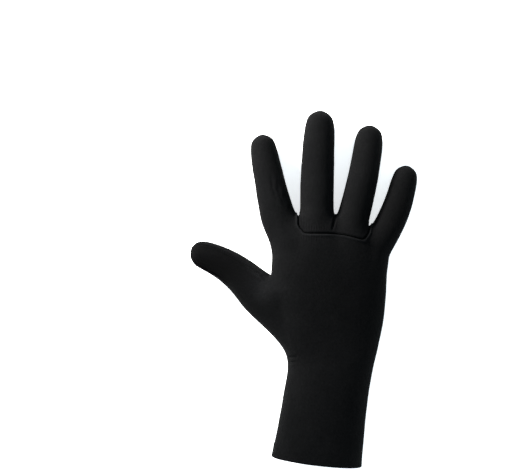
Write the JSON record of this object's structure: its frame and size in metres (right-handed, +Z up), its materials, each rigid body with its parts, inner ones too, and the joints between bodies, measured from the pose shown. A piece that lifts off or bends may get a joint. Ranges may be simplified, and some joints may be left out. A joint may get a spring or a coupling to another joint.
{
  "type": "diving glove",
  "caption": "Right-hand neoprene diving glove with a long cuff, a let-in knuckle panel and printed grip patches on the finger fronts.",
  "frame": {"origin": "under the middle of the glove's bounding box, on the surface that the glove lies on", "axes": "+Y from the cuff to the fingertips, +Z up through the back of the hand, -X towards the thumb"},
  "size_m": [0.1736, 0.2706, 0.0494],
  "materials": {
    "back_neoprene": "matte",
    "palm_neoprene": "matte",
    "grip_print": "satin"
  },
  "bodies": {
    "root": {"back_panel": "back_neoprene", "knuckle_panel": "back_neoprene", "palm_panel": "palm_neoprene", "grip_index_base": "grip_print", "grip_index_mid": "grip_print", "grip_index_tip": "grip_print", "grip_middle_base": "grip_print", "grip_middle_mid": "grip_print", "grip_middle_tip": "grip_print", "grip_ring_base": "grip_print", "grip_ring_mid": "grip_print", "grip_ring_tip": "grip_print", "grip_little_base": "grip_print", "grip_little_mid": "grip_print", "grip_little_tip": "grip_print", "grip_thumb_tip": "grip_print"}
  },
  "joints": []
}
